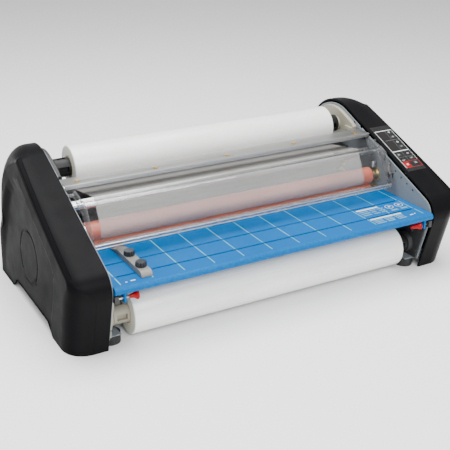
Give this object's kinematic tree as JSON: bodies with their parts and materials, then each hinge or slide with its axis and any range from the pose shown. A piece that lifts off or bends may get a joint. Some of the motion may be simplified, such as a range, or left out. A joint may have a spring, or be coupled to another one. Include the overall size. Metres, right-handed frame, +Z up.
{
  "type": "roll laminator",
  "caption": "Wide desktop roll laminator with film rolls above and below a feed table, geared heated rollers, a hinged clear shield, an edge guide and a key panel.",
  "frame": {"origin": "bottom centre of the machine's box, on the standing surface", "axes": "+X along the rollers to the operator's right, +Y to the back, +Z up"},
  "size_m": [0.892, 0.504, 0.305],
  "materials": {
    "casing_plastic": "satin",
    "frame_paint": "satin",
    "pan_paint": "matte",
    "rail_steel": "satin",
    "bracket_plastic": "satin",
    "table_paint": "satin",
    "film": "clear film",
    "film_roll": "milky wound film",
    "cardboard": "spiral wound paper",
    "heater": "matte",
    "brass": "satin",
    "spring_steel": "satin",
    "motor_metal": "satin",
    "board": "solder mask",
    "supply_metal": "satin",
    "black_plastic": "satin",
    "panel_film": "gloss overlay",
    "rubber": "matte",
    "shield_clear": "clear smoked sheet",
    "shield_trim": "satin anodised",
    "chrome": "polished",
    "aluminium": "turned",
    "silicone": "satin silicone",
    "gear_plastic": "satin",
    "pull_rubber": "satin",
    "guide_stone": "speckled",
    "red_plastic": "gloss",
    "key_light": "gloss",
    "mandrel_cream": "satin"
  },
  "bodies": {
    "root": {"left_casing": "casing_plastic", "right_casing": "casing_plastic", "left_frame_plate": "frame_paint", "right_frame_plate": "frame_paint", "base_pan": "pan_paint", "rear_cover": "black_plastic", "front_rail": "rail_steel", "rail_screws": "brass", "supply_brackets": "bracket_plastic", "lower_supply_brackets": "bracket_plastic", "feed_table": "table_paint", "table_brackets": "frame_paint", "upper_film_web": "film", "lower_film_web": "film", "heater_rods": "heater", "roller_bushes": "brass", "pressure_springs": "spring_steel", "drive_motor": "motor_metal", "circuit_board": "board", "power_supply": "supply_metal", "fan_frames": "black_plastic", "control_panel": "panel_film", "power_inlet": "black_plastic", "rubber_feet": "rubber"},
    "heat_shield": {"shield_panel": "shield_clear", "shield_strip": "shield_trim", "shield_arms": "shield_clear"},
    "upper_supply": {"upper_mandrel": "black_plastic", "upper_film_core": "cardboard", "upper_film_roll": "film_roll"},
    "lower_supply": {"lower_mandrel": "mandrel_cream", "lower_film_core": "cardboard", "lower_film_roll": "film_roll"},
    "upper_idler": {"upper_idler_bar": "chrome"},
    "lower_idler": {"lower_idler_bar": "chrome"},
    "upper_heat_roller": {"upper_heat_core": "aluminium", "upper_heat_sleeve": "silicone", "upper_heat_gear": "gear_plastic"},
    "lower_heat_roller": {"lower_heat_core": "aluminium", "lower_heat_sleeve": "silicone", "lower_heat_gear": "gear_plastic"},
    "upper_pull": {"upper_pull_roller": "pull_rubber"},
    "lower_pull": {"lower_pull_roller": "pull_rubber", "pull_gear": "gear_plastic"},
    "transfer": {"transfer_gear": "gear_plastic"},
    "pinion": {"motor_pinion": "brass"},
    "left_fan": {"left_fan_rotor": "black_plastic"},
    "right_fan": {"right_fan_rotor": "black_plastic"},
    "guide": {"edge_guide": "guide_stone"},
    "front_knob": {"front_guide_knob": "black_plastic"},
    "rear_knob": {"rear_guide_knob": "black_plastic"},
    "left_latch": {"left_table_latch": "red_plastic"},
    "right_latch": {"right_table_latch": "red_plastic"},
    "rocker": {"power_rocker": "red_plastic"},
    "key_up_cap": {"key_up": "key_light"},
    "key_down_cap": {"key_down": "key_light"},
    "key_run_cap": {"key_run": "key_light"},
    "key_reverse_cap": {"key_reverse": "key_light"},
    "key_stop_cap": {"key_stop": "red_plastic"},
    "key_standby_cap": {"key_standby": "key_light"}
  },
  "joints": [
    {"name": "shield_hinge", "type": "hinge", "parent": "root", "child": "heat_shield", "pos_m": [0, -0.036, 0.244], "axis": [1, 0, 0], "range_deg": [-100, 0]},
    {"name": "upper_supply_spin", "type": "hinge", "parent": "root", "child": "upper_supply", "pos_m": [0, 0.098, 0.255], "axis": [1, 0, 0], "continuous": true},
    {"name": "lower_supply_spin", "type": "hinge", "parent": "root", "child": "lower_supply", "pos_m": [0, -0.178, 0.051], "axis": [1, 0, 0], "continuous": true},
    {"name": "upper_idler_spin", "type": "hinge", "parent": "root", "child": "upper_idler", "pos_m": [0, -0.034, 0.222], "axis": [1, 0, 0], "continuous": true},
    {"name": "lower_idler_spin", "type": "hinge", "parent": "root", "child": "lower_idler", "pos_m": [0, -0.092, 0.088], "axis": [1, 0, 0], "continuous": true},
    {"name": "lower_heat_spin", "type": "hinge", "parent": "root", "child": "lower_heat_roller", "pos_m": [0, -0.05, 0.1308], "axis": [1, 0, 0], "continuous": true},
    {"name": "upper_heat_spin", "type": "hinge", "parent": "root", "child": "upper_heat_roller", "pos_m": [0, -0.05, 0.1692], "axis": [1, 0, 0], "continuous": true},
    {"name": "lower_pull_spin", "type": "hinge", "parent": "root", "child": "lower_pull", "pos_m": [0, 0.0748, 0.1308], "axis": [1, 0, 0], "continuous": true},
    {"name": "upper_pull_spin", "type": "hinge", "parent": "root", "child": "upper_pull", "pos_m": [0, 0.0748, 0.1692], "axis": [1, 0, 0], "continuous": true},
    {"name": "transfer_spin", "type": "hinge", "parent": "root", "child": "transfer", "pos_m": [0, 0.0124, 0.1308], "axis": [1, 0, 0], "continuous": true},
    {"name": "pinion_spin", "type": "hinge", "parent": "root", "child": "pinion", "pos_m": [0, 0.0124, 0.0732], "axis": [1, 0, 0], "continuous": true},
    {"name": "left_fan_spin", "type": "hinge", "parent": "root", "child": "left_fan", "pos_m": [-0.15, 0.118, 0.03], "axis": [0, 0, 1], "continuous": true},
    {"name": "right_fan_spin", "type": "hinge", "parent": "root", "child": "right_fan", "pos_m": [0.15, 0.118, 0.03], "axis": [0, 0, 1], "continuous": true},
    {"name": "guide_slide", "type": "slide", "parent": "root", "child": "guide", "axis": [1, 0, 0], "range_m": [-0.035, 0.6]},
    {"name": "front_knob_turn", "type": "hinge", "parent": "guide", "child": "front_knob", "pos_m": [-0.295, -0.205, 0.155], "axis": [0, 0, 1], "range_deg": [0, 270]},
    {"name": "rear_knob_turn", "type": "hinge", "parent": "guide", "child": "rear_knob", "pos_m": [-0.295, -0.151, 0.155], "axis": [0, 0, 1], "range_deg": [0, 270]},
    {"name": "left_latch_pull", "type": "slide", "parent": "root", "child": "left_latch", "axis": [1, 0, 0], "range_m": [0, 0.008], "stiffness_N_per_m": 200},
    {"name": "right_latch_pull", "type": "slide", "parent": "root", "child": "right_latch", "axis": [-1, 0, 0], "range_m": [0, 0.008], "stiffness_N_per_m": 200},
    {"name": "power_rock", "type": "hinge", "parent": "root", "child": "rocker", "pos_m": [0.388, 0.23893, 0.07696], "axis": [1, 0, 0], "range_deg": [0, 16]},
    {"name": "key_up_press", "type": "slide", "parent": "root", "child": "key_up_cap", "axis": [0, 0.3874, -0.9219], "range_m": [0, 0.0004], "stiffness_N_per_m": 500},
    {"name": "key_down_press", "type": "slide", "parent": "root", "child": "key_down_cap", "axis": [0, 0.3874, -0.9219], "range_m": [0, 0.0004], "stiffness_N_per_m": 500},
    {"name": "key_run_press", "type": "slide", "parent": "root", "child": "key_run_cap", "axis": [0, 0.3874, -0.9219], "range_m": [0, 0.0004], "stiffness_N_per_m": 500},
    {"name": "key_reverse_press", "type": "slide", "parent": "root", "child": "key_reverse_cap", "axis": [0, 0.3874, -0.9219], "range_m": [0, 0.0004], "stiffness_N_per_m": 500},
    {"name": "key_stop_press", "type": "slide", "parent": "root", "child": "key_stop_cap", "axis": [0, 0.3874, -0.9219], "range_m": [0, 0.0004], "stiffness_N_per_m": 500},
    {"name": "key_standby_press", "type": "slide", "parent": "root", "child": "key_standby_cap", "axis": [0, 0.3874, -0.9219], "range_m": [0, 0.0004], "stiffness_N_per_m": 500}
  ],
  "couplings": [
    {"joint": "upper_heat_spin", "follows": "lower_heat_spin", "ratio": -1},
    {"joint": "transfer_spin", "follows": "lower_heat_spin", "ratio": -0.44444},
    {"joint": "lower_pull_spin", "follows": "lower_heat_spin", "ratio": 1},
    {"joint": "upper_pull_spin", "follows": "lower_heat_spin", "ratio": -1},
    {"joint": "pinion_spin", "follows": "lower_heat_spin", "ratio": 1.3333}
  ]
}
